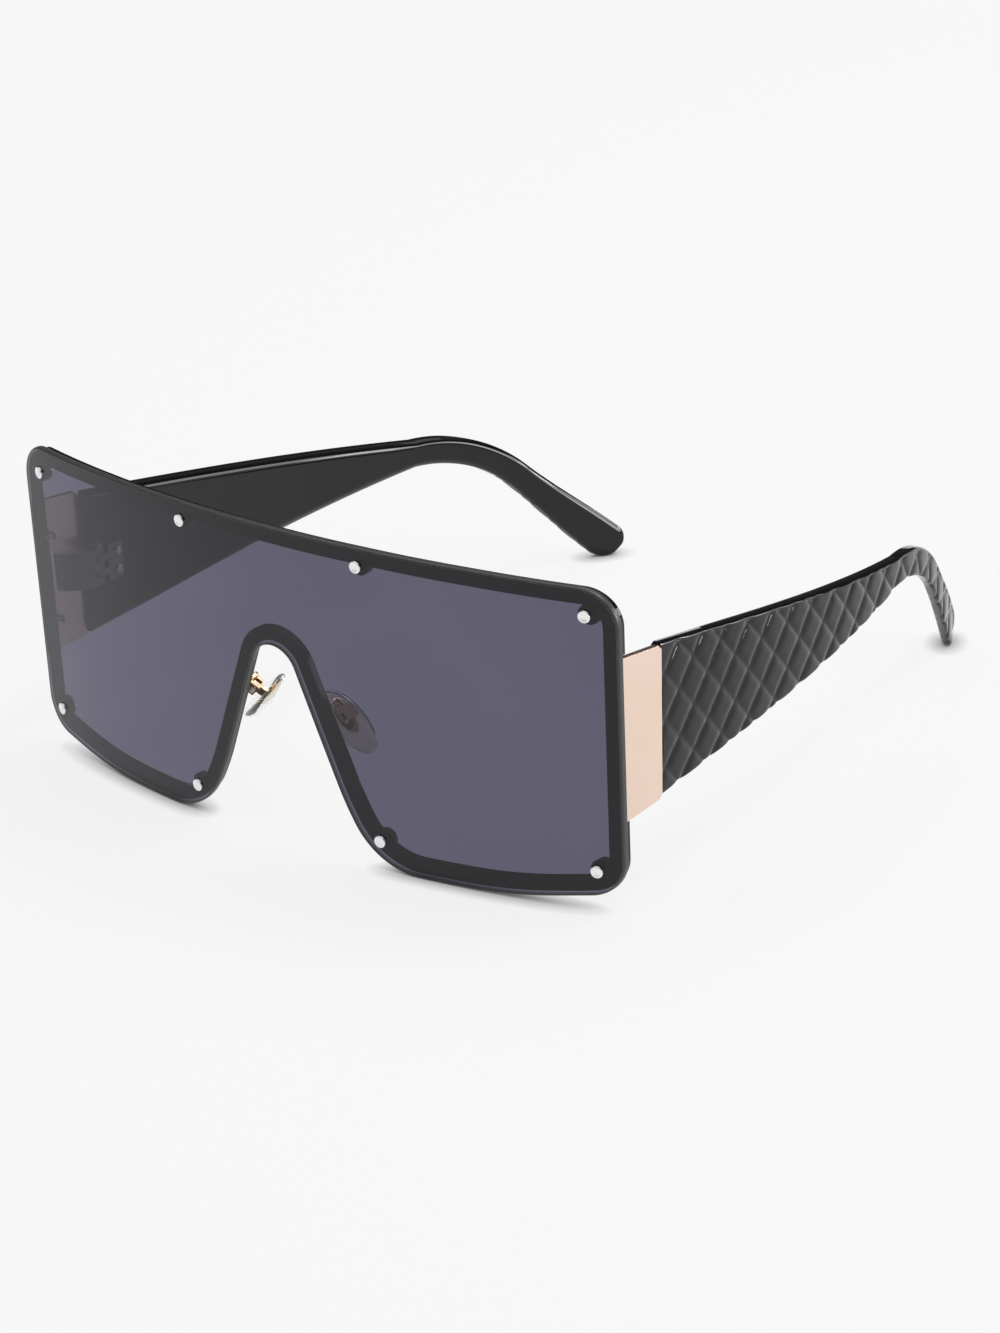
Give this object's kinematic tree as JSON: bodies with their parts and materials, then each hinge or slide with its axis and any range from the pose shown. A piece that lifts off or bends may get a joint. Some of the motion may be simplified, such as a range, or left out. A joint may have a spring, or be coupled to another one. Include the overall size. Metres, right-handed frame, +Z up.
{
  "type": "oversized shield sunglasses",
  "caption": "Oversized shield sunglasses: one curved tinted lens on a black rim, gold end plates, hinged quilted temples and rocking nose pads.",
  "frame": {"origin": "middle of the footprint, on the ground that the lens and the temple tips rest on", "axes": "+X to the wearer's left, the lens faces -Y and the temples run to +Y, +Z up"},
  "size_m": [0.1498, 0.1638, 0.0659],
  "materials": {
    "lens_tint": "grey tint, gloss",
    "rim_black": "gloss",
    "rivet_silver": "fine brushed",
    "plate_gold": "satin pale gold plating",
    "screw_steel": "satin",
    "hinge_steel": "satin",
    "temple_black": "gloss",
    "wire_gold": "polished pale gold plating",
    "pad_clear": "clear, soft gloss"
  },
  "bodies": {
    "front": {"shield_lens": "lens_tint", "rim_frame": "rim_black", "lens_rivets": "rivet_silver", "end_plate_left": "plate_gold", "end_plate_right": "plate_gold", "end_plate_screws": "screw_steel", "front_hinge_left": "hinge_steel", "front_hinge_right": "hinge_steel", "hinge_screw_left": "screw_steel", "hinge_screw_right": "screw_steel", "pad_arm_left": "wire_gold", "pad_arm_right": "wire_gold", "pad_box_left": "wire_gold", "pad_box_right": "wire_gold", "pad_screw_left": "screw_steel", "pad_screw_right": "screw_steel"},
    "temple_arm_left": {"temple_left": "temple_black", "temple_hinge_left": "hinge_steel", "temple_screws_left": "screw_steel"},
    "temple_arm_right": {"temple_right": "temple_black", "temple_hinge_right": "hinge_steel", "temple_screws_right": "screw_steel"},
    "pad_left": {"nose_pad_left": "pad_clear", "pad_holder_left": "wire_gold"},
    "pad_right": {"nose_pad_right": "pad_clear", "pad_holder_right": "wire_gold"}
  },
  "joints": [
    {"name": "fold_left", "type": "hinge", "parent": "front", "child": "temple_arm_left", "pos_m": [0.0696, -0.05608, 0.03525], "axis": [0, 0, 1], "range_deg": [0, 82]},
    {"name": "fold_right", "type": "hinge", "parent": "front", "child": "temple_arm_right", "pos_m": [-0.0696, -0.05608, 0.03525], "axis": [0, 0, -1], "range_deg": [0, 77]},
    {"name": "rock_left", "type": "hinge", "parent": "front", "child": "pad_left", "pos_m": [0.01236, -0.07335, 0.02798], "axis": [0.2764, 0.8815, 0.3829], "range_deg": [-6, 6]},
    {"name": "rock_right", "type": "hinge", "parent": "front", "child": "pad_right", "pos_m": [-0.01236, -0.07335, 0.02798], "axis": [-0.2764, 0.8815, 0.3829], "range_deg": [-6, 6]}
  ]
}
